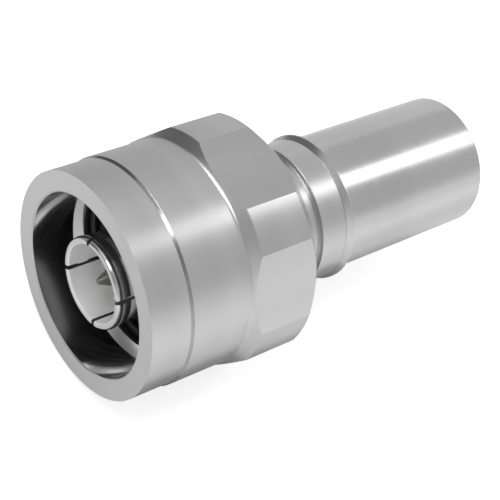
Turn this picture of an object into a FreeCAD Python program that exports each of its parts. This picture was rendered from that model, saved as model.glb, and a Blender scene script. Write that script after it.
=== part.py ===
"""N type cable plug, crimp pattern: eight turned and moulded pieces on one axis.

The axis is X. The mouth faces -X and the cable enters from +X. The origin is on the axis,
where the coupling thread begins, and +Z is the normal of one flat of the hexagon, so the
plug lies on the opposite flat. All lengths are in millimetres.
"""
import FreeCAD
import Part
import math
import os

# Fits between pieces
RUNNING = 0.08            # radial, where one piece turns or slides on another
LOCATION = 0.02           # radial, where one piece is pushed home in another
END_PLAY = 0.06           # axial, each side of the retaining ring
EDGE = 0.12               # broken edge of a turned piece

# Coupling thread, 5/8-24 UNEF
THREAD_MAJOR_R = 7.9375
THREAD_PITCH = 25.4 / 24
THREAD_LENGTH = 5.2

# Coupling nut
NUT_LENGTH = 17.0
COUNTERBORE_DEPTH = 4.2
COUNTERBORE_WIDENING = 0.16    # beyond the thread's major radius
FRONT_RIM_R = 10.0
FRONT_RIM_LENGTH = 3.75
SKIRT_STEP = 0.15              # the skirt behind the rim is this much larger
SKIRT_STEP_LENGTH = 0.25
SKIRT_LENGTH = 5.8
HEX_ACROSS_FLATS = 20.75
HEX_CORNER_R = 11.0            # the corners are turned down to this radius
REAR_CHAMFER = 1.15
RIM_CHAMFER = 0.2

# Retaining ring
RING_THICKNESS = 0.9
RING_BITE = 0.62               # how far it stands into each groove
RING_SETBACK = 2.1             # from the front face of the body
RING_GAP = 2.2

# Outer contact
CONTACT_RECESS = 0.75          # its rim, behind the nut's front face
CONTACT_BORE_R = 3.5
FINGER_WALL = 0.42
BEAD_HEIGHT = 0.22
BEAD_SETBACK = 0.35            # its crest, behind the rim
BEAD_LENGTH = 1.4
SLOT_COUNT = 4
SLOT_WIDTH = 0.38
SLOT_LENGTH = 5.4
SLOT_TURN = -29.8              # degrees from +Z to the first slot
CONTACT_SHANK_LENGTH = 2.5

# Gasket
MATING_DEPTH = 8.85            # from the outer contact's rim to the gasket
GASKET_THICKNESS = 1.6
GASKET_BORE_CLEARANCE = 0.25
GASKET_SETBACK = 0.1

# Connector body
BODY_BORE_R = 5.0
NECK_WALL = 1.14
LAND_STEP = 0.81               # the bearing land stands this far above the neck
FLANGE_CLEARANCE = 0.12        # the flange passes through the thread
FLANGE_LENGTH = 0.8
NECK_EXPOSED = 3.65
COLLAR_STEP = 0.27             # above the ferrule's tube
COLLAR_LENGTH = 2.75
PILOT_LENGTH = 1.2
STEM_BORE_R = 3.75
STEM_WALL = 0.75
STEM_LENGTH = 13.1
STOP_STEP = 0.35               # stop for the cable's dielectric, inside the stem
STOP_SETBACK = 0.3             # behind the centre contact's barrel
RIB_COUNT = 7
RIB_PITCH = 1.45
RIB_DEPTH = 0.22

# Insulator
INSULATOR_LENGTH = 4.0         # of the collar behind the outer contact
INSULATOR_SEAT_DEPTH = 0.8
INSULATOR_SETBACK = 0.15       # its front face, behind the pin's shoulder

# Centre contact
PIN_TIP_SETBACK = 0.75         # behind the outer contact's rim
PIN_R = 0.8
PIN_TIP_R = 0.25
PIN_TIP_LENGTH = 1.3
PIN_SHOULDER_SETBACK = 5.35    # behind the outer contact's rim
PIN_SHANK_R = 1.52
WIRE_BORE_R = 1.4
BARREL_WALL = 0.55
BARREL_LENGTH = 7.0
WIRE_BORE_DEPTH = 5.6
SIGHT_HOLE_R = 0.45

# Crimp ferrule
FERRULE_LENGTH = 17.6
FERRULE_BORE_R = 5.6
FERRULE_WALL = 0.68
LIP_HEIGHT = 0.57              # above the tube
LIP_LENGTH = 0.7
LIP_CHAMFER = 0.5
LIP_SLOPE = 0.19               # along the axis, at the back of the lip
FERRULE_MOUTH = 0.3

# Worked out along the axis
nut_front_x = -COUNTERBORE_DEPTH
nut_rear_x = nut_front_x + NUT_LENGTH
contact_rim_x = nut_front_x + CONTACT_RECESS
gasket_front_x = contact_rim_x + MATING_DEPTH
body_front_x = gasket_front_x + GASKET_THICKNESS
flange_rear_x = body_front_x + FLANGE_LENGTH
ring_front_x = body_front_x + RING_SETBACK
ring_rear_x = ring_front_x + RING_THICKNESS
contact_rear_x = body_front_x + CONTACT_SHANK_LENGTH
shoulder_x = contact_rim_x + PIN_SHOULDER_SETBACK
insulator_front_x = shoulder_x + INSULATOR_SETBACK
insulator_rear_x = contact_rear_x + INSULATOR_LENGTH
barrel_x = insulator_rear_x - INSULATOR_SEAT_DEPTH
barrel_end_x = barrel_x + BARREL_LENGTH
stop_x = barrel_end_x + STOP_SETBACK
collar_front_x = nut_rear_x + NECK_EXPOSED
collar_rear_x = collar_front_x + COLLAR_LENGTH
stem_rear_x = collar_rear_x + STEM_LENGTH
ferrule_rear_x = collar_rear_x + FERRULE_LENGTH

# Worked out across the axis
thread_minor_r = THREAD_MAJOR_R - 0.5413 * THREAD_PITCH
counterbore_r = THREAD_MAJOR_R + COUNTERBORE_WIDENING
lead_in = counterbore_r - thread_minor_r
relief_r = THREAD_MAJOR_R + RUNNING
skirt_r = FRONT_RIM_R + SKIRT_STEP
finger_r = CONTACT_BORE_R + FINGER_WALL
neck_r = BODY_BORE_R + NECK_WALL
land_r = neck_r + LAND_STEP
flange_r = max(thread_minor_r - FLANGE_CLEARANCE, land_r)
nut_bore_r = land_r + RUNNING
ring_inner_r = land_r - RING_BITE
ring_outer_r = nut_bore_r + RING_BITE
barrel_r = WIRE_BORE_R + BARREL_WALL
tube_r = FERRULE_BORE_R + FERRULE_WALL
lip_r = tube_r + LIP_HEIGHT
collar_r = tube_r + COLLAR_STEP
pilot_r = FERRULE_BORE_R - RUNNING
stem_r = STEM_BORE_R + STEM_WALL


def point(x, r):
    """A point of a turned profile, at x along the axis and r from it."""
    return FreeCAD.Vector(x, 0, r)


def profile_wire(corners):
    """A closed profile from corners (x, r) or (x, r, rounding), with true arcs."""
    places = [point(corner[0], corner[1]) for corner in corners]
    stretches = []
    arcs = []
    count = len(corners)
    for index, corner in enumerate(corners):
        here = places[index]
        back = places[index - 1] - here
        ahead = places[(index + 1) % count] - here
        rounding = corner[2] if len(corner) > 2 else 0.0
        if rounding == 0.0:
            stretches.append((here, here))
            arcs.append(None)
            continue
        half = back.getAngle(ahead) / 2
        back.normalize()
        ahead.normalize()
        reach = rounding / math.tan(half)
        start = here + back * reach
        end = here + ahead * reach
        inward = (back + ahead).normalize()
        middle = here + inward * (rounding / math.sin(half) - rounding)
        stretches.append((start, end))
        arcs.append(Part.Arc(start, middle, end).toShape())
    edges = []
    for index in range(count):
        if arcs[index] is not None:
            edges.append(arcs[index])
        leave = stretches[index][1]
        arrive = stretches[(index + 1) % count][0]
        if leave.distanceToPoint(arrive) > 1e-6:
            edges.append(Part.LineSegment(leave, arrive).toShape())
    return Part.Wire(edges)


def turned(corners):
    """The solid that a profile makes when it is turned once round the axis."""
    face = Part.Face(profile_wire(corners))
    solid = face.revolve(FreeCAD.Vector(0, 0, 0), FreeCAD.Vector(1, 0, 0), 360)
    if solid.Volume < 0:
        solid.reverse()
    return solid


def turned_about_axis(shape, degrees):
    """A copy of a shape, turned about the plug's axis."""
    copy = shape.copy()
    copy.rotate(FreeCAD.Vector(0, 0, 0), FreeCAD.Vector(1, 0, 0), degrees)
    return copy


def radial_slot(x_start, length, width, r_inner, r_outer):
    """A straight-sided cutter that reaches out along +Z."""
    return Part.makeBox(
        length, width, r_outer - r_inner, FreeCAD.Vector(x_start, -width / 2, r_inner)
    )


def hexagon_prism(x_start, x_end, across_flats):
    """A hexagonal bar along the axis, with a flat facing +Z."""
    corner_r = across_flats / 2 / math.cos(math.radians(30))
    corners = []
    for index in range(6):
        angle = math.radians(30 + 60 * index)
        corners.append(FreeCAD.Vector(
            x_start, corner_r * math.sin(angle), corner_r * math.cos(angle)
        ))
    outline = Part.makePolygon(corners + corners[:1])
    return Part.Face(outline).extrude(FreeCAD.Vector(x_end - x_start, 0, 0))


def make_coupling_nut():
    """Hexagon nut with a skirt, a counterbore, the thread's bore behind its 45 degree lead-in
    and a ring groove."""
    rim_end_x = nut_front_x + FRONT_RIM_LENGTH
    skirt_front_x = rim_end_x + SKIRT_STEP_LENGTH
    skirt_end_x = skirt_front_x + SKIRT_LENGTH
    cone_end_x = skirt_end_x + HEX_CORNER_R - skirt_r
    outside = [
        (nut_front_x, FRONT_RIM_R - RIM_CHAMFER),
        (nut_front_x + RIM_CHAMFER, FRONT_RIM_R),
        (rim_end_x, FRONT_RIM_R),
        (skirt_front_x, skirt_r),
        (skirt_end_x, skirt_r),
        (cone_end_x, HEX_CORNER_R),
        (nut_rear_x - REAR_CHAMFER, HEX_CORNER_R),
        (nut_rear_x, HEX_CORNER_R - REAR_CHAMFER),
    ]
    cavity_end_x = flange_rear_x + END_PLAY
    groove_front_x = ring_front_x - END_PLAY
    groove_rear_x = ring_rear_x + END_PLAY
    groove_r = ring_outer_r + RUNNING
    inside = [
        (nut_rear_x, nut_bore_r + EDGE),
        (nut_rear_x - EDGE, nut_bore_r),
        (groove_rear_x, nut_bore_r),
        (groove_rear_x, groove_r),
        (groove_front_x, groove_r),
        (groove_front_x, nut_bore_r),
        (cavity_end_x, nut_bore_r),
        (cavity_end_x, relief_r),
        (THREAD_LENGTH, relief_r),
        (THREAD_LENGTH, thread_minor_r),
        (lead_in, thread_minor_r),
        (0, counterbore_r),
        (nut_front_x + EDGE, counterbore_r),
        (nut_front_x, counterbore_r + EDGE),
    ]
    blank = turned(outside + inside)
    return blank.common(hexagon_prism(nut_front_x - 1, nut_rear_x + 1, HEX_ACROSS_FLATS))


def make_retaining_ring():
    """Split spring ring that sits half in the body's groove and half in the nut's."""
    ring = turned([
        (ring_front_x, ring_inner_r),
        (ring_front_x, ring_outer_r),
        (ring_rear_x, ring_outer_r),
        (ring_rear_x, ring_inner_r),
    ])
    gap = radial_slot(
        ring_front_x - 1, RING_THICKNESS + 2, RING_GAP, 0, ring_outer_r + 1
    )
    return ring.cut(gap)


def make_outer_contact():
    """Tube with a rounded bead at its rim and sprung fingers between the slots."""
    tip_x = contact_rim_x
    bead_r = finger_r + BEAD_HEIGHT
    shank_r = BODY_BORE_R - LOCATION
    contact = turned([
        (tip_x, CONTACT_BORE_R + EDGE),
        (tip_x, finger_r),
        (tip_x + BEAD_SETBACK, bead_r, 3 * BEAD_HEIGHT),
        (tip_x + BEAD_LENGTH, finger_r),
        (body_front_x, finger_r),
        (body_front_x, shank_r - EDGE),
        (body_front_x + EDGE, shank_r),
        (contact_rear_x, shank_r),
        (contact_rear_x, CONTACT_BORE_R),
        (tip_x + EDGE, CONTACT_BORE_R),
    ])
    cutter = radial_slot(tip_x - 1, SLOT_LENGTH + 1, SLOT_WIDTH, 0, bead_r + 1)
    for index in range(SLOT_COUNT):
        turn = SLOT_TURN + index * 360 / SLOT_COUNT
        contact = contact.cut(turned_about_axis(cutter, turn))
    return contact


def make_gasket():
    """Flat seal that lies round the outer contact, against the front of the body."""
    inner_r = finger_r + GASKET_BORE_CLEARANCE
    outer_r = flange_r - GASKET_SETBACK
    return turned([
        (gasket_front_x, inner_r),
        (gasket_front_x, outer_r),
        (body_front_x, outer_r),
        (body_front_x, inner_r),
    ])


def stem_ribs():
    """Outline of the crimp stem's V grooves, from the pilot back to the stem's end."""
    first_x = collar_rear_x + PILOT_LENGTH + RIB_PITCH / 2
    corners = []
    for index in range(RIB_COUNT):
        x = first_x + index * RIB_PITCH
        corners.append((x, stem_r))
        corners.append((x + RIB_PITCH / 2, stem_r - RIB_DEPTH))
    corners.append((first_x + RIB_COUNT * RIB_PITCH, stem_r))
    return corners


def make_connector_body():
    """Flange, bearing land with ring groove, neck, collar and hollow crimp stem."""
    groove_front_x = ring_front_x - END_PLAY
    groove_rear_x = ring_rear_x + END_PLAY
    groove_r = ring_inner_r - RUNNING
    pilot_rear_x = collar_rear_x + PILOT_LENGTH
    outside = [
        (body_front_x, flange_r - EDGE),
        (body_front_x + EDGE, flange_r),
        (flange_rear_x, flange_r),
        (flange_rear_x, land_r),
        (groove_front_x, land_r),
        (groove_front_x, groove_r),
        (groove_rear_x, groove_r),
        (groove_rear_x, land_r),
        (nut_rear_x - EDGE, land_r),
        (nut_rear_x, land_r - EDGE),
        (nut_rear_x, neck_r),
        (collar_front_x, neck_r),
        (collar_front_x, collar_r - EDGE / 2),
        (collar_front_x + EDGE / 2, collar_r),
        (collar_rear_x - EDGE, collar_r),
        (collar_rear_x, collar_r - EDGE),
        (collar_rear_x, pilot_r),
        (pilot_rear_x, pilot_r),
        (pilot_rear_x, stem_r),
    ]
    stem = stem_ribs() + [
        (stem_rear_x - STEM_WALL, stem_r),
        (stem_rear_x, stem_r - STEM_WALL / 2),
    ]
    inside = [
        (stem_rear_x, STEM_BORE_R + EDGE),
        (stem_rear_x - EDGE, STEM_BORE_R),
        (stop_x, STEM_BORE_R),
        (stop_x, STEM_BORE_R - STOP_STEP),
        (insulator_rear_x, STEM_BORE_R - STOP_STEP),
        (insulator_rear_x, BODY_BORE_R),
        (body_front_x + EDGE, BODY_BORE_R),
        (body_front_x, BODY_BORE_R + EDGE),
    ]
    return turned(outside + stem + inside)


def make_insulator():
    """Stepped bead that carries the centre contact. Its spigot fills the outer contact's bore
    as far as the pin's shoulder, and its collar is trapped behind the outer contact."""
    outer_r = BODY_BORE_R - LOCATION
    spigot_r = CONTACT_BORE_R - LOCATION
    bore_r = PIN_SHANK_R + LOCATION
    seat_r = barrel_r + LOCATION
    return turned([
        (insulator_front_x, bore_r),
        (insulator_front_x, spigot_r - EDGE),
        (insulator_front_x + EDGE, spigot_r),
        (contact_rear_x, spigot_r),
        (contact_rear_x, outer_r),
        (insulator_rear_x - EDGE, outer_r),
        (insulator_rear_x, outer_r - EDGE),
        (insulator_rear_x, seat_r),
        (barrel_x, seat_r),
        (barrel_x, bore_r),
    ])


def make_centre_contact():
    """Pin with a rounded nose, shank and crimp barrel with a wire bore and a sight hole."""
    tip_x = contact_rim_x + PIN_TIP_SETBACK
    bore_start_x = barrel_end_x - WIRE_BORE_DEPTH
    pin = turned([
        (tip_x, 0),
        (tip_x, PIN_TIP_R),
        (tip_x + PIN_TIP_LENGTH, PIN_R, PIN_TIP_LENGTH),
        (shoulder_x, PIN_R),
        (shoulder_x, PIN_SHANK_R - EDGE),
        (shoulder_x + EDGE, PIN_SHANK_R),
        (barrel_x, PIN_SHANK_R),
        (barrel_x, barrel_r),
        (barrel_end_x, barrel_r),
        (barrel_end_x, WIRE_BORE_R + EDGE),
        (barrel_end_x - EDGE, WIRE_BORE_R),
        (bore_start_x, WIRE_BORE_R),
        (bore_start_x - WIRE_BORE_R / 2, 0),
    ])
    sight_hole = Part.makeCylinder(
        SIGHT_HOLE_R,
        barrel_r + 1,
        FreeCAD.Vector(bore_start_x + 2 * SIGHT_HOLE_R, 0, 0),
        FreeCAD.Vector(0, 0, 1),
    )
    return pin.cut(sight_hole)


def make_crimp_ferrule():
    """Soft tube with a raised lip at its front, seated on the body's pilot."""
    lip_end_x = collar_rear_x + LIP_LENGTH
    return turned([
        (collar_rear_x, FERRULE_BORE_R),
        (collar_rear_x, lip_r - LIP_CHAMFER),
        (collar_rear_x + LIP_CHAMFER, lip_r),
        (lip_end_x, lip_r),
        (lip_end_x + LIP_SLOPE, tube_r),
        (ferrule_rear_x - EDGE, tube_r),
        (ferrule_rear_x, tube_r - EDGE),
        (ferrule_rear_x, FERRULE_BORE_R + FERRULE_MOUTH),
        (ferrule_rear_x - FERRULE_MOUTH, FERRULE_BORE_R),
    ])


NODES = {
    "coupling_nut": make_coupling_nut,
    "retaining_ring": make_retaining_ring,
    "outer_contact": make_outer_contact,
    "gasket": make_gasket,
    "connector_body": make_connector_body,
    "insulator": make_insulator,
    "centre_contact": make_centre_contact,
    "crimp_ferrule": make_crimp_ferrule,
}

os.makedirs("parts", exist_ok=True)
for node, make in NODES.items():
    make().exportStep("parts/" + node + ".step")
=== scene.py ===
"""Looks of the N type cable plug: plated metal, moulded pieces and a plain pale studio.

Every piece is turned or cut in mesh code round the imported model, in metres, with the plug's
axis on X and the mouth towards -X. Sizes in the classes are in millimetres.
"""
import logging
import math
from collections.abc import Iterable, Sequence
from dataclasses import dataclass, field
from enum import Enum, IntEnum

import bmesh
import bpy
from mathutils import Matrix, Vector


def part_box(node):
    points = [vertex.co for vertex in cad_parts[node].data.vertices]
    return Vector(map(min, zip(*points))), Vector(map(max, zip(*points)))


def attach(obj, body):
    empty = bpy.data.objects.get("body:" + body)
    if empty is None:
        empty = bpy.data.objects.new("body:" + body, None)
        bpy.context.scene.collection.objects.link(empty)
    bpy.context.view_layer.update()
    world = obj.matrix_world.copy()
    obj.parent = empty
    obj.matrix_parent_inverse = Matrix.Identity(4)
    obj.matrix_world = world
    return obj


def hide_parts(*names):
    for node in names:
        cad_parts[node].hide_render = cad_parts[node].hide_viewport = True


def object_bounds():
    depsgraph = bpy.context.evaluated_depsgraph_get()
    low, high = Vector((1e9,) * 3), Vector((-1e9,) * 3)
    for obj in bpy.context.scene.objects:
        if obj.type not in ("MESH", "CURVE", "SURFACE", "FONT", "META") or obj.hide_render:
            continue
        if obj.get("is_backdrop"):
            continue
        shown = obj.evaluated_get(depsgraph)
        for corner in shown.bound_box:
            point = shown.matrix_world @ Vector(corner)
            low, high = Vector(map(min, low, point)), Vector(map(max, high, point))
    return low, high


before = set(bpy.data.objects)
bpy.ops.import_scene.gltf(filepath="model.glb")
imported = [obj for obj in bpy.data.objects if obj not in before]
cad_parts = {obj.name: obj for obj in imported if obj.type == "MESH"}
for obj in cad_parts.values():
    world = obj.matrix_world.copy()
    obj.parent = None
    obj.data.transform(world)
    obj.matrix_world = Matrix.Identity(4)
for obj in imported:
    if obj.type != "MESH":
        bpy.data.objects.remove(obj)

LOG = logging.getLogger("plug")
MM = 0.001
AXIS = Vector((1, 0, 0))
CENTRE = Vector((0, 0, 0))
TURN_STEPS = 192          # facets round the axis; no flat's edge runs along a line between two
ARC_STEPS = 5             # facets in a rounded edge
MERGE_DISTANCE = 1e-7     # metres, below which two points are one
CUT_DISTANCE = 1e-8       # metres, below which a point lies on a cutting plane
SPLIT_DISTANCE = 1e-9     # metres, the same where a plane only splits faces
SHARP_ANGLE = math.radians(28)    # an edge that is bent more than this stays sharp
INWARD_TURN = -0.1        # cosine to the outward direction below which a face looks inwards
CARD_LIFT = 0.00005       # metres, a lying card's height over the floor
RING_GROOVE = (9.04, 10.06)    # millimetres along the axis, in the nut and the body alike
NOISE_LOW = 0.3           # most of a noise lies between this and the next value
NOISE_HIGH = 0.7
CELLS_TO_MARK = 0.5       # noise cells to one mark or grain
MARK_STRETCH = 0.01       # marks along the axis are drawn out by the inverse of this


class Slot(Enum):
    """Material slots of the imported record."""

    NUT = "white_bronze_plate"
    CONTACT = "white_bronze_contact"
    FERRULE = "nickel_plate"
    RING = "spring_bronze"
    PIN = "silver_plate"
    GASKET = "silicone_rubber"
    INSULATOR = "ptfe"


class Body(Enum):
    """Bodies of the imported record, which the pieces ride on."""

    PLUG = "plug"
    NUT = "nut"
    FERRULE = "ferrule"


class Direction(Enum):
    """How the machining marks run over a surface."""

    ROUND = "rings round the axis"
    ALONG = "lines along the axis"


class NutFace(IntEnum):
    """Places of the nut's finishes in its list."""

    TURNED = 0
    FLAT = 1
    BORE = 2
    WALL = 3
    STEP = 4


class ContactFace(IntEnum):
    """Places of the contact's finishes in its list."""

    OUTSIDE = 0
    INSIDE = 1
    SLOT = 2


def linear(colour: str) -> tuple[float, float, float, float]:
    """Turns an sRGB hex colour to linear RGBA.

    Args:
        colour: a colour such as "#C8C8C8".

    Returns:
        The colour as Blender's sockets take it.
    """
    channels = [int(colour[start:start + 2], 16) / 255 for start in (1, 3, 5)]
    values = [
        channel / 12.92 if channel <= 0.04045 else ((channel + 0.055) / 1.055) ** 2.4
        for channel in channels
    ]
    return (*values, 1.0)


def add_node(
    tree: bpy.types.NodeTree,
    kind: str,
    settings: dict | None = None,
    inputs: dict | None = None,
) -> bpy.types.Node:
    """Adds one shader node with its settings and links.

    Args:
        tree: the node tree that gets the node.
        kind: the node's type name.
        settings: attributes to set on the node.
        inputs: socket names or numbers, each with a value or the socket it is linked from.

    Returns:
        The new node.
    """
    node = tree.nodes.new(kind)
    for name, value in (settings or {}).items():
        setattr(node, name, value)
    for name, value in (inputs or {}).items():
        if isinstance(value, bpy.types.NodeSocket):
            tree.links.new(value, node.inputs[name])
        else:
            node.inputs[name].default_value = value
    return node


def new_material(name: str) -> bpy.types.Material:
    """An empty node material.

    Args:
        name: the material's name.

    Returns:
        The new material.
    """
    material = bpy.data.materials.new(name)
    material.use_nodes = True
    material.node_tree.nodes.clear()
    return material


@dataclass(frozen=True)
class MachinedMetal:
    """Machined brass or copper alloy under a thin plate.

    The plate blurs what it mirrors as far as its roughness says, and the tool's marks show
    through it as hair lines that lift and dull the gloss a little.

    Attributes:
        name: the finish in a plater's words.
        colour: the plate's colour.
        roughness: mean roughness of the plate.
        direction: how the tool's marks run.
        mark_spacing_mm: distance between two marks, drawn coarse enough to show.
        mark_depth_mm: height of the marks.
        gloss_spread: how far the roughness varies from its mean.
        shade_spread: share by which the colour varies.
        marks_to_band: how many marks lie in one broader band.
        cloud_mm: size of the soft clouds in the gloss.
    """

    name: str
    colour: str
    roughness: float
    direction: Direction = Direction.ROUND
    mark_spacing_mm: float = 0.16
    mark_depth_mm: float = 0.0016
    gloss_spread: float = 0.025
    shade_spread: float = 0.03
    marks_to_band: int = 9
    cloud_mm: float = 4.0

    def material(self) -> bpy.types.Material:
        """Builds the finish's material.

        Returns:
            The new material.
        """
        material = new_material(self.name)
        tree = material.node_tree
        place = add_node(tree, "ShaderNodeTexCoord").outputs["Object"]
        marks = self._marks(tree, place, self.mark_spacing_mm * MM)
        bands = self._marks(tree, place, self.marks_to_band * self.mark_spacing_mm * MM)
        clouds = add_node(
            tree,
            "ShaderNodeTexNoise",
            {},
            {"Vector": place, "Scale": 1 / (self.cloud_mm * MM), "Detail": 3.0},
        ).outputs["Fac"]
        wear = add_node(
            tree, "ShaderNodeMath", {"operation": "ADD"}, {0: bands, 1: clouds}
        ).outputs[0]
        roughness = add_node(
            tree,
            "ShaderNodeMapRange",
            {"interpolation_type": "SMOOTHSTEP"},
            {
                "Value": wear,
                "From Min": 2 * NOISE_LOW,
                "From Max": 2 * NOISE_HIGH,
                "To Min": self.roughness - self.gloss_spread,
                "To Max": self.roughness + self.gloss_spread,
            },
        ).outputs["Result"]
        shade = add_node(
            tree,
            "ShaderNodeMapRange",
            {"interpolation_type": "SMOOTHSTEP"},
            {
                "Value": bands,
                "From Min": NOISE_LOW,
                "From Max": NOISE_HIGH,
                "To Min": 1 - self.shade_spread,
                "To Max": 1 + self.shade_spread,
            },
        ).outputs["Result"]
        colour = add_node(
            tree,
            "ShaderNodeVectorMath",
            {"operation": "SCALE"},
            {0: linear(self.colour)[:3], "Scale": shade},
        ).outputs["Vector"]
        relief = add_node(
            tree,
            "ShaderNodeBump",
            {},
            {"Strength": 1.0, "Distance": self.mark_depth_mm * MM, "Height": marks},
        ).outputs["Normal"]
        surface = add_node(
            tree,
            "ShaderNodeBsdfPrincipled",
            {},
            {"Base Color": colour, "Metallic": 1.0, "Roughness": roughness, "Normal": relief},
        )
        add_node(
            tree, "ShaderNodeOutputMaterial", {}, {"Surface": surface.outputs["BSDF"]}
        )
        return material

    def _marks(
        self, tree: bpy.types.NodeTree, place: bpy.types.NodeSocket, spacing: float
    ) -> bpy.types.NodeSocket:
        """Noise that is drawn out along the machining marks.

        Args:
            tree: the material's node tree.
            place: object coordinates.
            spacing: distance between two marks, in metres.

        Returns:
            The noise's value, about 0 to 1.
        """
        if self.direction is Direction.ALONG:
            across = add_node(
                tree,
                "ShaderNodeVectorMath",
                {"operation": "MULTIPLY"},
                {0: place, 1: (MARK_STRETCH, 1, 1)},
            ).outputs["Vector"]
        else:
            parts = add_node(tree, "ShaderNodeSeparateXYZ", {}, {"Vector": place})
            flat = add_node(
                tree, "ShaderNodeVectorMath", {"operation": "MULTIPLY"}, {0: place, 1: (0, 1, 1)}
            ).outputs["Vector"]
            radius = add_node(
                tree, "ShaderNodeVectorMath", {"operation": "LENGTH"}, {0: flat}
            ).outputs["Value"]
            across = add_node(
                tree, "ShaderNodeCombineXYZ", {}, {"X": parts.outputs["X"], "Y": radius}
            ).outputs["Vector"]
        return add_node(
            tree,
            "ShaderNodeTexNoise",
            {},
            {"Vector": across, "Scale": CELLS_TO_MARK / spacing, "Detail": 2.0},
        ).outputs["Fac"]


@dataclass(frozen=True)
class MouldedFinish:
    """Moulded rubber or plastic: a matt skin with a fine grain and soft mottling.

    Attributes:
        name: the finish in a moulder's words.
        colour: main colour.
        deep_colour: colour of the mottling.
        roughness: roughness of the skin.
        grain_mm: size of the grain.
        relief_mm: height of the grain.
        subsurface: share of light that passes under the skin.
        cloud_mm: size of the soft mottling.
        depth_mm: how deep the light goes under the skin.
    """

    name: str
    colour: str
    deep_colour: str
    roughness: float
    grain_mm: float = 0.12
    relief_mm: float = 0.004
    subsurface: float = 0.0
    cloud_mm: float = 3.0
    depth_mm: float = 0.3

    def material(self) -> bpy.types.Material:
        """Builds the finish's material.

        Returns:
            The new material.
        """
        material = new_material(self.name)
        tree = material.node_tree
        place = add_node(tree, "ShaderNodeTexCoord").outputs["Object"]
        grain = add_node(
            tree,
            "ShaderNodeTexNoise",
            {},
            {"Vector": place, "Scale": CELLS_TO_MARK / (self.grain_mm * MM), "Detail": 4.0},
        ).outputs["Fac"]
        clouds = add_node(
            tree,
            "ShaderNodeTexNoise",
            {},
            {"Vector": place, "Scale": 1 / (self.cloud_mm * MM), "Detail": 2.0},
        ).outputs["Fac"]
        colour = add_node(
            tree,
            "ShaderNodeMix",
            {"data_type": "RGBA"},
            {"Factor": clouds, 6: linear(self.colour), 7: linear(self.deep_colour)},
        ).outputs[2]
        relief = add_node(
            tree,
            "ShaderNodeBump",
            {},
            {"Strength": 1.0, "Distance": self.relief_mm * MM, "Height": grain},
        ).outputs["Normal"]
        surface = add_node(
            tree,
            "ShaderNodeBsdfPrincipled",
            {},
            {
                "Base Color": colour,
                "Roughness": self.roughness,
                "Subsurface Weight": self.subsurface,
                "Subsurface Scale": self.depth_mm * MM,
                "Normal": relief,
            },
        )
        add_node(
            tree, "ShaderNodeOutputMaterial", {}, {"Surface": surface.outputs["BSDF"]}
        )
        return material


# White bronze over turned brass: a neutral grey satin plate.
SATIN_PLATE = MachinedMetal("satin white bronze on turned brass", "#C6C6C6", 0.305)

# The same plate over the drawn bar's flats, with marks along the bar.
FLAT_PLATE = MachinedMetal(
    "satin white bronze on drawn flats", "#C6C6C6", 0.24, Direction.ALONG, 0.2, 0.0010
)

# Plate deep in the nut's bore, on its thread and on the contact's slot walls: dull, with its
# colour darkened as painted shade of the recess.
BORE_SHADE_PLATE = MachinedMetal("white bronze darkened as painted shade in the bore", "#686868", 0.55, mark_depth_mm=0.003)

# Bored wall ahead of the thread: a finer turned face, so it mirrors more, with its colour
# lighter than the plate as a painted highlight.
WALL_HIGHLIGHT_PLATE = MachinedMetal(
    "bright white bronze on the bored wall", "#E2E2E2", 0.13, mark_depth_mm=0.0006
)

# Short cone between rim and skirt: its colour darker grey than the plate as painted shade of the
# step, with sharper mirrors.
STEP_SHADE_PLATE = MachinedMetal(
    "white bronze darkened as painted shade in the step", "#A4A4A4", 0.22, mark_depth_mm=0.0006
)

# Bright plate on the sprung contact, polished for low contact resistance: it mirrors more.
CONTACT_PLATE = MachinedMetal(
    "bright white bronze on the contact", "#D2D2D2", 0.2, mark_depth_mm=0.0008
)

# Inside of the contact, reamed and left matt, with its colour whiter than its outside as painted
# light in the hollow.
MATT_LIGHT_PLATE = MachinedMetal(
    "matt white bronze whitened as painted light in the contact", "#F8F8F8", 0.75, mark_depth_mm=0.0008
)

# Satin nickel on the drawn ferrule: the glossiest of the outer pieces.
NICKEL_PLATE = MachinedMetal(
    "satin nickel on drawn tube", "#C8C8C8", 0.23, mark_spacing_mm=0.2, mark_depth_mm=0.0010
)

# Bare phosphor bronze spring strip, rolled: a warm yellow brown with a satin gloss.
SPRING_BRONZE = MachinedMetal("phosphor bronze strip", "#C49A6C", 0.3)

# Silver on the centre contact, its colour darkened grey as painted shade on the pin.
SILVER_SHADE_PLATE = MachinedMetal("silver darkened as painted shade on the pin", "#747470", 0.34, mark_depth_mm=0.0008)

# Black silicone sheet, die cut: matt with a fine grain.
BLACK_SILICONE = MouldedFinish("die cut black silicone", "#242424", "#1C1C1C", 0.62)

# Turned PTFE: milky white, waxy, lets a little light in.
MILKY_PTFE = MouldedFinish(
    "turned milky ptfe", "#F0F0EC", "#E6E6E0", 0.45, 0.1, 0.002, subsurface=0.3
)

Finish = MachinedMetal | MouldedFinish


@dataclass(frozen=True)
class Corner:
    """A corner of a turned outline, in millimetres.

    Attributes:
        x: place along the axis.
        r: distance from the axis.
        reach: how far the rounding reaches along each side, 0 for a sharp corner.
    """

    x: float
    r: float
    reach: float = 0.0


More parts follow.
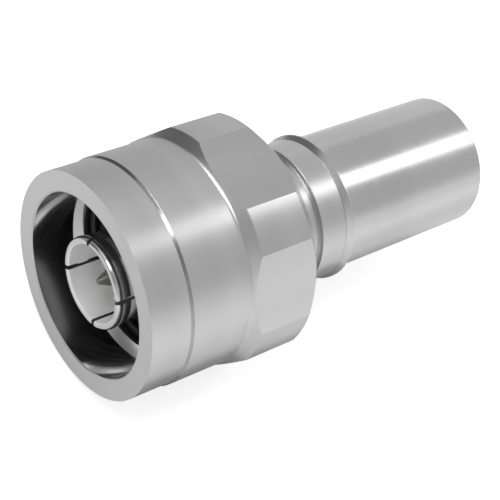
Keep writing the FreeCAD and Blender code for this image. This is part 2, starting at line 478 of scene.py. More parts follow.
def turned(corners: Sequence[Corner], steps: int = TURN_STEPS) -> bmesh.types.BMesh:
    """Rounds the corners of a closed outline and spins it once round the axis.

    Args:
        corners: the outline's corners in order.
        steps: facets round the axis.

    Returns:
        A closed mesh with its faces outwards.
    """
    mesh = bmesh.new()
    points = [mesh.verts.new((corner.x * MM, 0, corner.r * MM)) for corner in corners]
    for index, point in enumerate(points):
        mesh.edges.new((points[index - 1], point))
    for point, corner in zip(points, corners):
        if corner.reach:
            bmesh.ops.bevel(
                mesh,
                geom=[point],
                offset=corner.reach * MM,
                offset_type="OFFSET",
                segments=ARC_STEPS,
                affect="VERTICES",
                profile=0.5,
                material=-1,
            )
    bmesh.ops.spin(
        mesh,
        geom=mesh.verts[:] + mesh.edges[:],
        cent=CENTRE,
        axis=AXIS,
        angle=math.tau,
        steps=steps,
        use_merge=True,
    )
    close_up(mesh)
    return mesh


def close_up(mesh: bmesh.types.BMesh) -> None:
    """Merges double points and turns all faces outwards.

    Args:
        mesh: the closed mesh.
    """
    bmesh.ops.remove_doubles(mesh, verts=mesh.verts[:], dist=MERGE_DISTANCE)
    bmesh.ops.dissolve_degenerate(mesh, edges=mesh.edges[:], dist=MERGE_DISTANCE)
    bmesh.ops.recalc_face_normals(mesh, faces=mesh.faces[:])


def radius_of(place: Vector) -> float:
    """Distance of a place from the plug's axis, in metres."""
    return math.hypot(place.y, place.z)


def faces_inwards(face: bmesh.types.BMFace) -> bool:
    """Whether a face looks towards the plug's axis.

    Args:
        face: the face.

    Returns:
        True if it looks inwards.
    """
    middle = face.calc_center_median()
    outward = Vector((0, middle.y, middle.z)).normalized()
    return face.normal.dot(outward) < INWARD_TURN


def merged_copy(node: str) -> bmesh.types.BMesh:
    """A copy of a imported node's mesh with its loose triangles joined.

    Args:
        node: the node's name.

    Returns:
        The joined mesh.
    """
    mesh = bmesh.new()
    mesh.from_mesh(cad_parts[node].data)
    bmesh.ops.remove_doubles(mesh, verts=mesh.verts[:], dist=MERGE_DISTANCE)
    return mesh


def add_piece(
    name: str,
    mesh: bmesh.types.BMesh,
    finishes: Sequence[Finish],
    body: Body,
    nodes: Iterable[str] = (),
) -> bpy.types.Object:
    """Makes a finished object of a mesh and hangs it on its body.

    Args:
        name: the piece's name.
        mesh: its mesh, which is freed.
        finishes: its finishes, in the order of the faces' material numbers.
        body: the body it rides on.
        nodes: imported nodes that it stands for.

    Returns:
        The new object, at the origin.
    """
    for face in mesh.faces:
        face.smooth = True
    for edge in mesh.edges:
        one_finish = len({face.material_index for face in edge.link_faces}) < 2
        edge.smooth = one_finish and edge.calc_face_angle(0.0) < SHARP_ANGLE
    data = bpy.data.meshes.new(name)
    mesh.to_mesh(data)
    mesh.free()
    for finish in finishes:
        known = bpy.data.materials.get(finish.name)
        data.materials.append(known or finish.material())
    piece = bpy.data.objects.new(name, data)
    bpy.context.scene.collection.objects.link(piece)
    shading = piece.modifiers.new("even_shading", "WEIGHTED_NORMAL")
    shading.keep_sharp = True
    if nodes:
        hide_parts(*nodes)
    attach(piece, body.value)
    triangles = sum(len(face.vertices) - 2 for face in data.polygons)
    LOG.info("%s: %d triangles, on %s", name, triangles, body.value)
    return piece


@dataclass
class CouplingNut:
    """Hexagon nut with a round skirt, a counterbore and the coupling thread."""

    major_r: float = 7.9375         # of the thread, 5/8-24 UNEF
    pitch: float = 25.4 / 24
    thread_length: float = 5.2
    counterbore_r: float = 8.0975
    rim_r: float = 10.0
    rim_length: float = 3.75
    step: float = 0.15              # the skirt behind the rim is this much larger
    step_length: float = 0.25
    skirt_length: float = 5.8
    flats_r: float = 10.375         # from the axis to a flat
    corner_r: float = 11.0          # the hexagon's corners are turned down to this
    chamfer: float = 1.15           # behind the hexagon
    bore_r: float = 7.03            # turns on the body's land
    relief_r: float = 8.0175        # room behind the thread for the gasket and the flange
    cavity_end: float = 7.86        # where that room ends
    groove: tuple[float, float] = RING_GROOVE
    groove_r: float = 7.73
    land: float = 0.28              # plain stretch at each end of the thread
    edge: float = 0.12              # broken edge
    thread_steps: int = 96          # to one turn
    thread_height: float = 0.5413   # in pitches, 5/8 of a sharp V of 60 degrees
    root_bury: float = 0.03         # the ridge's foot lies this deep in the wall
    crest_gap: float = 0.01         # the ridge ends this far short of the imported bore
    wall_margin: float = 0.02       # beyond the counterbore, still part of its wall
    front: float = field(init=False)
    rear: float = field(init=False)

    def __post_init__(self) -> None:
        """Takes the nut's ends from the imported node."""
        low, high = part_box("coupling_nut")
        self.front = low[0] / MM
        self.rear = high[0] / MM

    @property
    def minor_r(self) -> float:
        """Radius of the thread's crests."""
        return self.major_r - self.thread_height * self.pitch

    @property
    def lead_in(self) -> float:
        """Depth of the 45 degree chamfer that leads a jack into the thread."""
        return self.counterbore_r - self.minor_r

    def outline(self) -> list[Corner]:
        """The nut's section, with the thread's bore at the major radius.

        Returns:
            The section's corners in order.
        """
        rim_end = self.front + self.rim_length
        skirt_front = rim_end + self.step_length
        skirt_end = skirt_front + self.skirt_length
        cone_end = skirt_end + self.corner_r - self.rim_r - self.step
        skirt_r = self.rim_r + self.step
        thread_end = self.thread_length
        thread_front = self.lead_in + self.land
        groove_front, groove_rear = self.groove
        return [
            Corner(self.front, self.rim_r),
            Corner(rim_end, self.rim_r),
            Corner(skirt_front, skirt_r, 0.02),
            Corner(skirt_end, skirt_r, 0.2),
            Corner(cone_end, self.corner_r, 0.06),
            Corner(self.rear - self.chamfer, self.corner_r, 0.06),
            Corner(self.rear, self.corner_r - self.chamfer, 0.06),
            Corner(self.rear, self.bore_r + self.edge, 0.04),
            Corner(self.rear - self.edge, self.bore_r),
            Corner(groove_rear, self.bore_r),
            Corner(groove_rear, self.groove_r),
            Corner(groove_front, self.groove_r),
            Corner(groove_front, self.bore_r),
            Corner(self.cavity_end, self.bore_r),
            Corner(self.cavity_end, self.relief_r),
            Corner(thread_end, self.relief_r),
            Corner(thread_end, self.minor_r, 0.05),
            Corner(thread_end - self.land, self.minor_r),
            Corner(thread_end - self.land, self.major_r),
            Corner(thread_front, self.major_r),
            Corner(thread_front, self.minor_r),
            Corner(self.lead_in, self.minor_r, 0.03),
            Corner(0, self.counterbore_r),
            Corner(self.front + self.edge, self.counterbore_r),
            Corner(self.front, self.counterbore_r + self.edge, 0.03),
        ]

    def shell(self) -> bmesh.types.BMesh:
        """The turned nut with its six flats cut.

        Returns:
            A closed mesh with its finishes numbered.
        """
        mesh = turned(self.outline())
        for index in range(6):
            angle = math.tau * index / 6
            normal = Vector((0, math.sin(angle), math.cos(angle)))
            cut = bmesh.ops.bisect_plane(
                mesh,
                geom=mesh.verts[:] + mesh.edges[:] + mesh.faces[:],
                dist=CUT_DISTANCE,
                plane_co=normal * self.flats_r * MM,
                plane_no=normal,
                clear_outer=True,
            )
            rim = [item for item in cut["geom_cut"] if isinstance(item, bmesh.types.BMEdge)]
            bmesh.ops.edgeloop_fill(mesh, edges=rim, mat_nr=NutFace.FLAT)
        close_up(mesh)
        for face in mesh.faces:
            face.material_index = self.finish_number(face)
        return mesh

    def finish_number(self, face: bmesh.types.BMFace) -> int:
        """Number of the finish that a face of the shell takes.

        Args:
            face: the face, with the flats already numbered.

        Returns:
            The finish's place in the nut's list of finishes.
        """
        middle = face.calc_center_median()
        x = middle.x / MM
        if faces_inwards(face):
            if radius_of(middle) < (self.counterbore_r + self.wall_margin) * MM:
                # Deeper than the lead-in, the bore takes the darkened plate: painted shade.
                if x > self.lead_in:
                    return NutFace.BORE
                # Ahead of the thread, the wall takes the lightened plate: painted highlight.
                if x < 0:
                    return NutFace.WALL
        else:
            rim_end = self.front + self.rim_length
            # The step's cone takes the darkened plate: painted shade.
            if rim_end < x < rim_end + self.step_length:
                return NutFace.STEP
        return face.material_index

    def thread(self) -> bmesh.types.BMesh:
        """The helical ridge of the coupling thread, buried a little in the bore's wall.

        Returns:
            A closed mesh.
        """
        mesh = bmesh.new()
        start = self.lead_in + self.land - self.pitch / 2
        root_r = self.major_r + self.root_bury
        crest_r = self.minor_r + self.crest_gap
        # A quarter of the pitch is flat on the crest, and an eighth between two ridges.
        half_root = 7 / 16 * self.pitch
        half_crest = 1 / 8 * self.pitch
        section = [
            (-half_root, root_r),
            (-half_crest, crest_r),
            (half_crest, crest_r),
            (half_root, root_r),
        ]
        points = [mesh.verts.new(((start + x) * MM, 0, r * MM)) for x, r in section]
        mesh.faces.new(points)
        run = self.thread_length - self.lead_in - 2 * self.land + self.pitch
        turns = run / self.pitch
        steps = round(turns * self.thread_steps)
        bmesh.ops.spin(
            mesh,
            geom=mesh.verts[:] + mesh.edges[:] + mesh.faces[:],
            cent=CENTRE,
            axis=AXIS,
            dvec=AXIS * (run * MM / steps),
            angle=-turns * math.tau,
            steps=steps,
        )
        bmesh.ops.holes_fill(mesh, edges=mesh.edges[:], sides=0)
        close_up(mesh)
        return mesh

    def build(self) -> None:
        """Adds the nut and its thread."""
        finishes = (SATIN_PLATE, FLAT_PLATE, BORE_SHADE_PLATE, WALL_HIGHLIGHT_PLATE, STEP_SHADE_PLATE)
        add_piece("nut_shell", self.shell(), finishes, Body.NUT, ["coupling_nut"])
        # The thread takes the bore's darkened plate: painted shade.
        add_piece("nut_thread", self.thread(), (BORE_SHADE_PLATE,), Body.NUT)


@dataclass
class OuterContact:
    """Slotted tube with a bead at its rim."""

    bore_r: float = 3.5
    wall: float = 0.42              # of the fingers
    bead_height: float = 0.22
    bead_setback: float = 0.35      # from the rim to the bead's crest
    bead_length: float = 1.4        # from the rim to the bead's end
    shank_r: float = 4.98           # pushed home in the body
    shank_front: float = 7.0
    slot_count: int = 4
    slot_width: float = 0.38
    slot_length: float = 5.4
    slot_turn: float = -29.8        # degrees from +Z towards -Y, positive about +X
    edge: float = 0.12              # broken edge
    rim: float = field(init=False)
    rear: float = field(init=False)

    def __post_init__(self) -> None:
        """Takes the contact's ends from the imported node."""
        low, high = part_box("outer_contact")
        self.rim = low[0] / MM
        self.rear = high[0] / MM

    def outline(self) -> list[Corner]:
        """The contact's section.

        Returns:
            The section's corners in order.
        """
        finger_r = self.bore_r + self.wall
        bead_r = finger_r + self.bead_height
        return [
            Corner(self.rim, self.bore_r + self.edge, 0.03),
            Corner(self.rim, finger_r, 0.08),
            Corner(self.rim + self.bead_setback, bead_r, 0.25),
            Corner(self.rim + self.bead_length, finger_r, 0.1),
            Corner(self.shank_front, finger_r),
            Corner(self.shank_front, self.shank_r, self.edge),
            Corner(self.rear, self.shank_r),
            Corner(self.rear, self.bore_r),
            Corner(self.rim + self.edge, self.bore_r, 0.03),
        ]

    def fingers(self) -> bmesh.types.BMesh:
        """The tube with its slots cut from the rim and their walls closed.

        Returns:
            A closed mesh with its finishes numbered.
        """
        mesh = turned(self.outline())
        slot_end = (self.rim + self.slot_length) * MM
        half = self.slot_width / 2 * MM
        self._split(mesh, Vector((slot_end, 0, 0)), AXIS, slot_end)
        turns = [
            math.radians(self.slot_turn) + math.tau * index / self.slot_count
            for index in range(self.slot_count)
        ]
        for turn in turns[: self.slot_count // 2]:
            across = Vector((0, math.cos(turn), math.sin(turn)))
            for side in (-half, half):
                self._split(mesh, across * side, across, slot_end)
        doomed = [face for face in mesh.faces if self._in_slot(face, turns, slot_end, half)]
        bmesh.ops.delete(mesh, geom=doomed, context="FACES")
        for turn in turns:
            along = Vector((0, -math.sin(turn), math.cos(turn)))
            across = Vector((0, math.cos(turn), math.sin(turn)))
            for side in (-half, half):
                wall = [
                    edge for edge in mesh.edges
                    if edge.is_boundary and all(
                        abs(point.co.dot(across) - side) < CUT_DISTANCE
                        and point.co.dot(along) > 0
                        for point in edge.verts
                    )
                ]
                ends = {
                    point for edge in wall for point in edge.verts
                    if abs(point.co.x - slot_end) < CUT_DISTANCE
                }
                closing = mesh.edges.get(tuple(ends)) or mesh.edges.new(tuple(ends))
                bmesh.ops.edgeloop_fill(mesh, edges=wall + [closing], mat_nr=ContactFace.SLOT)
        bmesh.ops.holes_fill(mesh, edges=mesh.edges[:], sides=0)
        close_up(mesh)
        # Faces inside the bore take the whitened matt plate: painted light.
        for face in mesh.faces:
            middle = face.calc_center_median()
            inside = radius_of(middle) < (self.bore_r + self.edge) * MM and faces_inwards(face)
            if inside and face.material_index == ContactFace.OUTSIDE:
                face.material_index = ContactFace.INSIDE
        return mesh

    @staticmethod
    def _split(
        mesh: bmesh.types.BMesh, place: Vector, normal: Vector, slot_end: float
    ) -> None:
        """Cuts the faces in front of the slots' ends along a plane, and removes none.

        Args:
            mesh: the contact's mesh.
            place: a point of the plane.
            normal: the plane's normal.
            slot_end: where the slots end, in metres along the axis.
        """
        reach = math.inf if normal == AXIS else slot_end + MERGE_DISTANCE
        faces = [
            face for face in mesh.faces if all(point.co.x < reach for point in face.verts)
        ]
        edges = {edge for face in faces for edge in face.edges}
        points = {point for face in faces for point in face.verts}
        bmesh.ops.bisect_plane(
            mesh,
            geom=faces + list(edges) + list(points),
            dist=SPLIT_DISTANCE,
            plane_co=place,
            plane_no=normal,
        )

    @staticmethod
    def _in_slot(
        face: bmesh.types.BMFace, turns: Sequence[float], slot_end: float, half: float
    ) -> bool:
        """Whether a face lies inside one of the slots.

        Args:
            face: the face.
            turns: the slots' turns from +Z, in radians.
            slot_end: where the slots end, in metres along the axis.
            half: half the slots' width, in metres.

        Returns:
            True if the face is cut away.
        """
        middle = face.calc_center_median()
        if middle.x > slot_end:
            return False
        for turn in turns:
            along = Vector((0, -math.sin(turn), math.cos(turn)))
            across = Vector((0, math.cos(turn), math.sin(turn)))
            if middle.dot(along) > 0 and abs(middle.dot(across)) < half:
                return True
        return False

    def build(self) -> None:
        """Adds the contact."""
        # The slot walls take the bore's darkened plate: painted shade.
        add_piece(
            "contact_fingers", self.fingers(), (CONTACT_PLATE, MATT_LIGHT_PLATE, BORE_SHADE_PLATE),
            Body.PLUG, ["outer_contact"],
        )


@dataclass
class PlugBody:
    """Flange, bearing land with ring groove, neck, collar and ribbed crimp stem."""

    flange_r: float = 7.2446
    flange_length: float = 0.8
    land_r: float = 6.95            # the nut turns on it
    groove: tuple[float, float] = RING_GROOVE
    groove_r: float = 6.25
    neck_r: float = 6.14
    land_end: float = 12.8
    collar_front: float = 16.45
    collar_rear: float = 19.2
    collar_r: float = 6.55
    pilot_r: float = 5.52           # centres the ferrule
    pilot_length: float = 1.2
    stem_r: float = 4.5
    stem_bore_r: float = 3.75
    stop: float = 20.0              # where the cable's dielectric ends
    stop_r: float = 3.4
    insulator_rear: float = 13.5
    bore_r: float = 5.0
    rib_count: int = 7
    rib_pitch: float = 1.45
    rib_depth: float = 0.22
    edge: float = 0.12              # broken edge
    front: float = field(init=False)
    rear: float = field(init=False)

    def __post_init__(self) -> None:
        """Takes the body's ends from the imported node."""
        low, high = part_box("connector_body")
        self.front = low[0] / MM
        self.rear = high[0] / MM

    def ribs(self) -> list[Corner]:
        """V grooves along the stem.

        Returns:
            The grooves' corners from front to rear.
        """
        first = self.collar_rear + self.pilot_length + self.rib_pitch / 2
        corners = []
        for index in range(self.rib_count):
            x = first + index * self.rib_pitch
            corners.append(Corner(x, self.stem_r, 0.05))
            corners.append(Corner(x + self.rib_pitch / 2, self.stem_r - self.rib_depth, 0.05))
        corners.append(Corner(first + self.rib_count * self.rib_pitch, self.stem_r, 0.05))
        return corners

    def outline(self) -> list[Corner]:
        """The body's section.

        Returns:
            The section's corners in order.
        """
        groove_front, groove_rear = self.groove
        stem_wall = self.stem_r - self.stem_bore_r
        pilot_rear = self.collar_rear + self.pilot_length
        return [
            Corner(self.front, self.flange_r, self.edge),
            Corner(self.front + self.flange_length, self.flange_r),
            Corner(self.front + self.flange_length, self.land_r),
            Corner(groove_front, self.land_r),
            Corner(groove_front, self.groove_r),
            Corner(groove_rear, self.groove_r),
            Corner(groove_rear, self.land_r),
            Corner(self.land_end, self.land_r, self.edge),
            Corner(self.land_end, self.neck_r, 0.1),
            Corner(self.collar_front, self.neck_r, 0.05),
            Corner(self.collar_front, self.collar_r, 0.06),
            Corner(self.collar_rear, self.collar_r, 0.1),
            Corner(self.collar_rear, self.pilot_r),
            Corner(pilot_rear, self.pilot_r, 0.08),
            Corner(pilot_rear, self.stem_r),
            *self.ribs(),
            Corner(self.rear - stem_wall, self.stem_r, 0.1),
            Corner(self.rear, self.stem_r - stem_wall / 2, 0.04),
            Corner(self.rear, self.stem_bore_r + self.edge, 0.04),
            Corner(self.rear - self.edge, self.stem_bore_r),
            Corner(self.stop, self.stem_bore_r),
            Corner(self.stop, self.stop_r, 0.05),
            Corner(self.insulator_rear, self.stop_r, 0.05),
            Corner(self.insulator_rear, self.bore_r),
            Corner(self.front, self.bore_r, self.edge),
        ]

    def build(self) -> None:
        """Adds the body."""
        mesh = turned(self.outline())
        add_piece("plug_body", mesh, (SATIN_PLATE,), Body.PLUG, ["connector_body"])


@dataclass
class CrimpFerrule:
    """Soft tube with a raised lip at its front."""

    bore_r: float = 5.6
    tube_r: float = 6.28
    lip_r: float = 6.85
    lip_length: float = 0.7
    lip_chamfer: float = 0.5
    lip_slope: float = 0.19         # along the axis, at the back of the lip
    mouth: float = 0.3              # chamfer where the cable goes in
    front: float = field(init=False)
    rear: float = field(init=False)

    def __post_init__(self) -> None:
        """Takes the ferrule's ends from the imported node."""
        low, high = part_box("crimp_ferrule")
        self.front = low[0] / MM
        self.rear = high[0] / MM

    def build(self) -> None:
        """Adds the ferrule."""
        lip_end = self.front + self.lip_length
        mesh = turned([
            Corner(self.front, self.bore_r, 0.05),
            Corner(self.front, self.lip_r - self.lip_chamfer, 0.05),
            Corner(self.front + self.lip_chamfer, self.lip_r),
            Corner(lip_end, self.lip_r, 0.03),
            Corner(lip_end + self.lip_slope, self.tube_r, 0.03),
            Corner(self.rear, self.tube_r, 0.2),
            Corner(self.rear, self.bore_r + self.mouth, 0.06),
            Corner(self.rear - self.mouth, self.bore_r, 0.1),
        ])
        add_piece(
            "crimp_sleeve", mesh, (NICKEL_PLATE,), Body.FERRULE, ["crimp_ferrule"]
        )


@dataclass
class InnerPieces:
    """Insulator, gasket, retaining ring and centre contact, held inside the plug."""

    insulator_r: float = 4.98
    spigot_r: float = 3.48          # pushed home in the outer contact
    spigot_end: float = 9.5
    insulator_bore_r: float = 1.54
    barrel_seat_r: float = 1.97     # holds the front of the crimp barrel
    barrel_seat_depth: float = 0.8
    gasket_inner_r: float = 4.17
    gasket_outer_r: float = 7.1446
    gasket_round: float = 0.05

    def insulator(self) -> bmesh.types.BMesh:
        """The bead that carries the centre contact.

        Returns:
            A closed mesh.
        """
        low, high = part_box("insulator")
        front = low[0] / MM
        rear = high[0] / MM
        seat = rear - self.barrel_seat_depth
        return turned([
            Corner(front, self.insulator_bore_r, 0.04),
            Corner(front, self.spigot_r, 0.12),
            Corner(self.spigot_end, self.spigot_r),
            Corner(self.spigot_end, self.insulator_r),
            Corner(rear, self.insulator_r, 0.12),
            Corner(rear, self.barrel_seat_r, 0.04),
            Corner(seat, self.barrel_seat_r),
            Corner(seat, self.insulator_bore_r),
        ])

    def gasket(self) -> bmesh.types.BMesh:
        """The flat seal round the outer contact.

        Returns:
            A closed mesh.
        """
        low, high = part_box("gasket")
        front = low[0] / MM
        rear = high[0] / MM
        return turned([
            Corner(front, self.gasket_inner_r, self.gasket_round),
            Corner(front, self.gasket_outer_r, self.gasket_round),
            Corner(rear, self.gasket_outer_r, self.gasket_round),
            Corner(rear, self.gasket_inner_r, self.gasket_round),
        ])

    def build(self) -> None:
        """Adds the four pieces."""
        add_piece(
            "ptfe_bead", self.insulator(), (MILKY_PTFE,), Body.PLUG,
            ["insulator"],
        )
        add_piece(
            "mouth_seal", self.gasket(), (BLACK_SILICONE,), Body.PLUG, ["gasket"]
        )
        add_piece(
            "split_ring", merged_copy("retaining_ring"), (SPRING_BRONZE,), Body.PLUG,
            ["retaining_ring"],
        )
        # The pin's silver is darkened: painted shade.
        add_piece(
            "centre_pin", merged_copy("centre_contact"), (SILVER_SHADE_PLATE,), Body.PLUG,
            ["centre_contact"],
        )


@dataclass(frozen=True)
class Lamp:
    """A rectangular softbox that faces the plug.

    Attributes:
        name: the lamp's name.
        azimuth: its direction from the plug, in degrees from +X towards +Y.
        elevation: its height over the plug, in degrees.
        distance: its distance, in metres.
        width: its size across, level with the floor, in metres.
        length: its size up and down, in metres.
        radiance: how bright its face is, where 1 is a white card in full light.
    """

    name: str
    azimuth: float
    elevation: float
    distance: float
    width: float
    length: float
    radiance: float


@dataclass(frozen=True)
class Card:
    """A card that stands or lies on the floor and shows in the metal alone.

    Attributes:
        name: the card's name.
        colour: its colour.
        start: x and y of one lower corner, in metres.
        end: x and y of the other lower corner, or of the opposite one if the card lies.
        height: its height over the floor.
        glow: light that it gives off itself.
        lies: whether it lies on the floor.
    """

    name: str
    colour: str
    start: tuple[float, float]
    end: tuple[float, float]
    height: float
    glow: float = 0.0
    lies: bool = False

    def corners(self, floor: float) -> list[tuple[float, float, float]]:
        """The card's corners in order.

        Args:
            floor: the floor's height, in metres.

        Returns:
            Four places in space.
        """
        top = floor + self.height
        if self.lies:
            x0, y0 = self.start
            x1, y1 = self.end
            return [(x0, y0, top), (x1, y0, top), (x1, y1, top), (x0, y1, top)]
        return [(*self.start, floor), (*self.end, floor), (*self.end, top), (*self.start, top)]


@dataclass
class Studio:
    """Pale floor, soft lamps, cards and the camera of the photograph.

    Lengths are in metres and angles in degrees. Azimuths are counted from +X towards +Y.
    """

    lamps: tuple[Lamp, ...] = (
        Lamp("strip_softbox", -10.0, 46.0, 0.5, 0.13, 0.21, 2.3),
        Lamp("front_softbox", 180.0, 68.0, 0.9, 0.28, 0.28, 6.0),
        Lamp("key_softbox", 95.0, 69.0, 0.9, 0.36, 0.36, 6.6),
    )
    cards: tuple[Card, ...] = (
        Card("pale_card", "#F4F4F4", (0.02, 0.026), (0.1, 0.026), 0.03, 0.07),
        Card("pale_wing", "#DADADA", (0.02, 0.026), (0.02, 0.06), 0.04, 0.02),
        # This lying grey sheet darkens the floor beside the plug as the metal mirrors it:
        # painted shade.
        Card("side_shade_card", "#C2C2C2", (0.006, 0.018), (0.0198, 0.06), CARD_LIFT, lies=True),
        Card("grey_card", "#808080", (0.019, 0.06), (-0.046, 0.034), 0.052),
        # This lying grey sheet darkens the floor under the plug's side as the metal mirrors it:
        # painted shadow of the plug.
        Card("shade_card", "#B4B4B4", (-0.001, -0.0142), (0.028, -0.002), CARD_LIFT, lies=True),
    )
    floor_size: float = 4.0
    floor_colour: str = "#EAEAEA"
    camera_glow: float = 0.62       # added where the camera sees the floor
    metal_glow: float = 0.2         # added where metal mirrors the floor's open side
    open_side: tuple[float, float] = (-0.018, -0.04)    # the glow fades in between these y
    sky_level: float = 0.6
    horizon_level: float = 1.0      # towards -Y, from the horizon up to the band's top
    band_top: float = 0.34          # as the sine of the elevation, as the next value is
    band_full: float = 0.03         # below it the band is at its full level
    open_sky: tuple[float, float] = (-0.2, -0.7)    # y of a direction; the band fades in
    shade_depth: float = 0.42       # how much darker the tent's opening round the camera is
    shade_rim: tuple[float, float] = (0.89, 0.98)    # cosines between which it fades in
    camera_azimuth: float = -56.892
    camera_elevation: float = 48.842
    camera_roll: float = 28.555
    camera_distance: float = 0.12107
    camera_aim: tuple[float, float, float] = (0.01258, -0.00178, -0.00085)
    lens: float = 97.72

    def floor(self, height: float) -> None:
        """Adds the floor.

        Args:
            height: the floor's height, in metres.
        """
        mesh = bmesh.new()
        lift = Matrix.Translation((0, 0, height))
        bmesh.ops.create_grid(
            mesh, x_segments=1, y_segments=1, size=self.floor_size / 2, matrix=lift
        )
        self._stage_piece("floor", mesh, self._paper())

    def _paper(self) -> bpy.types.Material:
        """Matt white paper, which the camera and the metal see a little brighter.

        Returns:
            The floor's material.
        """
        material = new_material("matt white paper")
        tree = material.node_tree
        path = add_node(tree, "ShaderNodeLightPath")
        mirrored = add_node(
            tree,
            "ShaderNodeMath",
            {"operation": "MAXIMUM"},
            {0: path.outputs["Is Glossy Ray"], 1: path.outputs["Is Transmission Ray"]},
        ).outputs[0]
        place = add_node(tree, "ShaderNodeTexCoord").outputs["Object"]
        parts = add_node(tree, "ShaderNodeSeparateXYZ", {}, {"Vector": place})
        closed_y, open_y = self.open_side
        metal_glow = add_node(
            tree,
            "ShaderNodeMapRange",
            {"interpolation_type": "SMOOTHSTEP"},
            {
                "Value": parts.outputs["Y"],
                "From Min": closed_y,
                "From Max": open_y,
                "To Max": self.metal_glow,
            },
        ).outputs["Result"]
        in_metal = add_node(
            tree, "ShaderNodeMath", {"operation": "MULTIPLY"}, {0: mirrored, 1: metal_glow}
        ).outputs[0]
        strength = add_node(
            tree,
            "ShaderNodeMath",
            {"operation": "MULTIPLY_ADD"},
            {0: path.outputs["Is Camera Ray"], 1: self.camera_glow, 2: in_metal},
        ).outputs[0]
        paper = add_node(
            tree, "ShaderNodeBsdfDiffuse", {}, {"Color": linear(self.floor_colour)}
        ).outputs["BSDF"]
        glow = add_node(
            tree, "ShaderNodeEmission", {}, {"Strength": strength}
        ).outputs["Emission"]
        both = add_node(tree, "ShaderNodeAddShader", {}, {0: paper, 1: glow}).outputs[0]
        add_node(tree, "ShaderNodeOutputMaterial", {}, {"Surface": both})
        return material

    def card(self, card: Card, height: float) -> None:
        """Adds one card.

        Args:
            card: the card.
            height: the floor's height, in metres.
        """
        mesh = bmesh.new()
        mesh.faces.new([mesh.verts.new(corner) for corner in card.corners(height)])
        material = new_material(card.name)
        tree = material.node_tree
        face = add_node(
            tree,
            "ShaderNodeBsdfPrincipled",
            {},
            {
                "Base Color": linear(card.colour),
                "Roughness": 1.0,
                "Emission Color": linear("#FFFFFF"),
                "Emission Strength": card.glow,
            },
        ).outputs["BSDF"]
        add_node(tree, "ShaderNodeOutputMaterial", {}, {"Surface": face})
        piece = self._stage_piece(card.name, mesh, material)
        piece.visible_camera = False
        piece.visible_diffuse = False
        piece.visible_shadow = False

    @staticmethod
    def _stage_piece(
        name: str, mesh: bmesh.types.BMesh, material: bpy.types.Material
    ) -> bpy.types.Object:
        """Makes a stage object of a mesh.

        Args:
            name: the object's name.
            mesh: its mesh, which is freed.
            material: its material.

        Returns:
            The object, declared as stage.
        """
        data = bpy.data.meshes.new(name)
        mesh.to_mesh(data)
        mesh.free()
        data.materials.append(material)
        piece = bpy.data.objects.new(name, data)
        bpy.context.scene.collection.objects.link(piece)
        piece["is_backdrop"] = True
        return piece

    @staticmethod
    def lamp(lamp: Lamp) -> None:
        """Adds one softbox.

        Args:
            lamp: the softbox.
        """
        light = bpy.data.lights.new(lamp.name, "AREA")
        light.shape = "RECTANGLE"
        light.size = lamp.width
        light.size_y = lamp.length
        light.energy = lamp.radiance * lamp.width * lamp.length * math.pi
        piece = bpy.data.objects.new(lamp.name, light)
        bpy.context.scene.collection.objects.link(piece)
        turn = (
            Matrix.Rotation(math.radians(90 + lamp.azimuth), 4, "Z")
            @ Matrix.Rotation(math.radians(90 - lamp.elevation), 4, "X")
        )
        piece.matrix_world = turn @ Matrix.Translation((0, 0, lamp.distance))

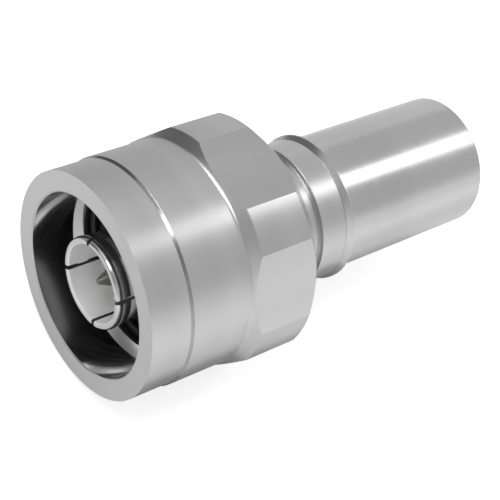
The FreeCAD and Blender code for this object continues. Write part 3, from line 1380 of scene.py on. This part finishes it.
    def sky(self) -> None:
        """Sets the world: a plain light tent, white to the camera itself.

        The metal sees it brighter low down on the open side and darker round the camera.
        """
        world = bpy.data.worlds.new("light_tent")
        bpy.context.scene.world = world
        world.use_nodes = True
        tree = world.node_tree
        tree.nodes.clear()
        place = add_node(tree, "ShaderNodeTexCoord").outputs["Generated"]
        parts = add_node(tree, "ShaderNodeSeparateXYZ", {}, {"Vector": place})
        low = add_node(
            tree,
            "ShaderNodeMapRange",
            {"interpolation_type": "SMOOTHSTEP"},
            {"Value": parts.outputs["Z"], "From Min": self.band_top, "From Max": self.band_full},
        ).outputs["Result"]
        closed_y, open_y = self.open_sky
        open_side = add_node(
            tree,
            "ShaderNodeMapRange",
            {"interpolation_type": "SMOOTHSTEP"},
            {"Value": parts.outputs["Y"], "From Min": closed_y, "From Max": open_y},
        ).outputs["Result"]
        share = add_node(
            tree, "ShaderNodeMath", {"operation": "MULTIPLY"}, {0: low, 1: open_side}
        ).outputs[0]
        level = add_node(
            tree,
            "ShaderNodeMapRange",
            {},
            {"Value": share, "To Min": self.sky_level, "To Max": self.horizon_level},
        ).outputs["Result"]
        towards_camera = self._camera_turn() @ Vector((0, 0, 1))
        nearness = add_node(
            tree,
            "ShaderNodeVectorMath",
            {"operation": "DOT_PRODUCT"},
            {0: place, 1: towards_camera},
        ).outputs["Value"]
        rim, core = self.shade_rim
        opening = add_node(
            tree,
            "ShaderNodeMapRange",
            {"interpolation_type": "SMOOTHSTEP"},
            {
                "Value": nearness,
                "From Min": rim,
                "From Max": core,
                "To Min": 1.0,
                "To Max": 1 - self.shade_depth,
            },
        ).outputs["Result"]
        shaded = add_node(
            tree, "ShaderNodeMath", {"operation": "MULTIPLY"}, {0: level, 1: opening}
        ).outputs[0]
        seen = add_node(tree, "ShaderNodeLightPath").outputs["Is Camera Ray"]
        strength = add_node(
            tree, "ShaderNodeMath", {"operation": "MAXIMUM"}, {0: shaded, 1: seen}
        ).outputs[0]
        glow = add_node(
            tree,
            "ShaderNodeBackground",
            {},
            {"Color": linear("#FFFFFF"), "Strength": strength},
        ).outputs["Background"]
        add_node(tree, "ShaderNodeOutputWorld", {}, {"Surface": glow})

    def _camera_turn(self) -> Matrix:
        """The camera's turn in space.

        Returns:
            The turn, with no place in it.
        """
        return (
            Matrix.Rotation(math.radians(self.camera_azimuth), 4, "Z")
            @ Matrix.Rotation(math.radians(90 - self.camera_elevation), 4, "X")
            @ Matrix.Rotation(math.radians(self.camera_roll), 4, "Z")
        )

    def camera(self) -> None:
        """Adds the camera where the photograph was taken from."""
        data = bpy.data.cameras.new("camera")
        data.lens = self.lens
        data.sensor_width = 36.0
        data.clip_start = 0.001
        data.clip_end = 10.0
        camera = bpy.data.objects.new("camera", data)
        bpy.context.scene.collection.objects.link(camera)
        turn = self._camera_turn()
        back = turn @ Vector((0, 0, 1))
        place = Vector(self.camera_aim) + back * self.camera_distance
        camera.matrix_world = Matrix.Translation(place) @ turn
        bpy.context.scene.camera = camera

    def build(self, height: float) -> None:
        """Sets up the studio.

        Args:
            height: the floor's height, in metres.
        """
        self.floor(height)
        for card in self.cards:
            self.card(card, height)
        for lamp in self.lamps:
            self.lamp(lamp)
        self.sky()
        self.camera()
        bpy.context.scene.view_settings.view_transform = "Standard"


def main() -> None:
    """Builds the plug's pieces and the studio in order."""
    logging.basicConfig(level=logging.INFO, format="%(name)s: %(message)s")
    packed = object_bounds()
    for assembly in (CouplingNut(), OuterContact(), PlugBody(), CrimpFerrule(), InnerPieces()):
        assembly.build()
    Studio().build(packed[0][2])


if __name__ == "__main__":
    main()
